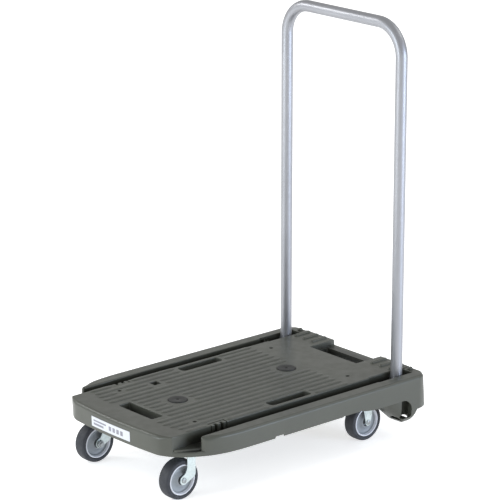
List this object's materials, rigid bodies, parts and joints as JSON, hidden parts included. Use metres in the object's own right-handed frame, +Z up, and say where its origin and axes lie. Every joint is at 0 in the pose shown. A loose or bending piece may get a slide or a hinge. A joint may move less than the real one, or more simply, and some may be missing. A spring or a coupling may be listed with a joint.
{
  "type": "folding platform cart",
  "caption": "Small platform cart: moulded deck on casters, swivelling in front and fixed behind, with a U-shaped tube handle that folds down into side channels.",
  "frame": {"origin": "on the ground under the middle of the deck", "axes": "+X across the deck to the right side, +Y from the nose towards the handle, +Z up"},
  "size_m": [0.39, 0.6048, 0.8051],
  "materials": {
    "deck_plastic": "moulded, semi-matt olive grey",
    "cap_plastic": "moulded, semi-matt dark grey",
    "label_film": "white film, unprinted",
    "satin_aluminium": "satin anodised",
    "zinc_plate": "bright zinc plated pressing",
    "plain_steel": "plated steel",
    "wheel_plastic": "light grey moulded",
    "tyre_rubber": "smooth dark grey tread"
  },
  "bodies": {
    "deck": {"deck_body": "deck_plastic", "deck_cap_front": "cap_plastic", "deck_cap_rear": "cap_plastic", "label_plate": "label_film", "handle_pin_left": "plain_steel", "handle_clip_left": "deck_plastic", "screw_front_left_1": "plain_steel", "screw_front_left_2": "plain_steel", "screw_front_left_3": "plain_steel", "screw_front_left_4": "plain_steel", "caster_plate_front_left": "zinc_plate", "swivel_race_front_left": "zinc_plate", "kingpin_front_left": "plain_steel", "screw_rear_left_1": "plain_steel", "screw_rear_left_2": "plain_steel", "screw_rear_left_3": "plain_steel", "screw_rear_left_4": "plain_steel", "fork_rear_left": "zinc_plate", "axle_bolt_rear_left": "plain_steel", "axle_nut_rear_left": "plain_steel", "handle_pin_right": "plain_steel", "handle_clip_right": "deck_plastic", "screw_front_right_1": "plain_steel", "screw_front_right_2": "plain_steel", "screw_front_right_3": "plain_steel", "screw_front_right_4": "plain_steel", "caster_plate_front_right": "zinc_plate", "swivel_race_front_right": "zinc_plate", "kingpin_front_right": "plain_steel", "screw_rear_right_1": "plain_steel", "screw_rear_right_2": "plain_steel", "screw_rear_right_3": "plain_steel", "screw_rear_right_4": "plain_steel", "fork_rear_right": "zinc_plate", "axle_bolt_rear_right": "plain_steel", "axle_nut_rear_right": "plain_steel"},
    "handle": {"handle_tube": "satin_aluminium", "handle_plug_left": "cap_plastic", "handle_plug_right": "cap_plastic"},
    "swivel_front_left": {"fork_front_left": "zinc_plate", "axle_bolt_front_left": "plain_steel", "axle_nut_front_left": "plain_steel"},
    "wheel_front_left": {"wheel_core_front_left": "wheel_plastic", "tyre_front_left": "tyre_rubber", "axle_sleeve_front_left": "plain_steel"},
    "wheel_rear_left": {"wheel_core_rear_left": "wheel_plastic", "tyre_rear_left": "tyre_rubber", "axle_sleeve_rear_left": "plain_steel"},
    "swivel_front_right": {"fork_front_right": "zinc_plate", "axle_bolt_front_right": "plain_steel", "axle_nut_front_right": "plain_steel"},
    "wheel_front_right": {"wheel_core_front_right": "wheel_plastic", "tyre_front_right": "tyre_rubber", "axle_sleeve_front_right": "plain_steel"},
    "wheel_rear_right": {"wheel_core_rear_right": "wheel_plastic", "tyre_rear_right": "tyre_rubber", "axle_sleeve_rear_right": "plain_steel"}
  },
  "joints": [
    {"name": "handle_fold", "type": "hinge", "parent": "deck", "child": "handle", "pos_m": [0, 0.257, 0.117], "axis": [1, 0, 0], "range_deg": [0, 90]},
    {"name": "swivel_front_left_turn", "type": "hinge", "parent": "deck", "child": "swivel_front_left", "pos_m": [-0.122, -0.227, 0.085], "axis": [0, 0, 1], "continuous": true},
    {"name": "wheel_front_left_spin", "type": "hinge", "parent": "swivel_front_left", "child": "wheel_front_left", "pos_m": [-0.122, -0.249, 0.0375], "axis": [1, 0, 0], "continuous": true},
    {"name": "wheel_rear_left_spin", "type": "hinge", "parent": "deck", "child": "wheel_rear_left", "pos_m": [-0.122, 0.203, 0.0375], "axis": [1, 0, 0], "continuous": true},
    {"name": "swivel_front_right_turn", "type": "hinge", "parent": "deck", "child": "swivel_front_right", "pos_m": [0.122, -0.227, 0.085], "axis": [0, 0, 1], "continuous": true},
    {"name": "wheel_front_right_spin", "type": "hinge", "parent": "swivel_front_right", "child": "wheel_front_right", "pos_m": [0.122, -0.249, 0.0375], "axis": [1, 0, 0], "continuous": true},
    {"name": "wheel_rear_right_spin", "type": "hinge", "parent": "deck", "child": "wheel_rear_right", "pos_m": [0.122, 0.203, 0.0375], "axis": [1, 0, 0], "continuous": true}
  ]
}
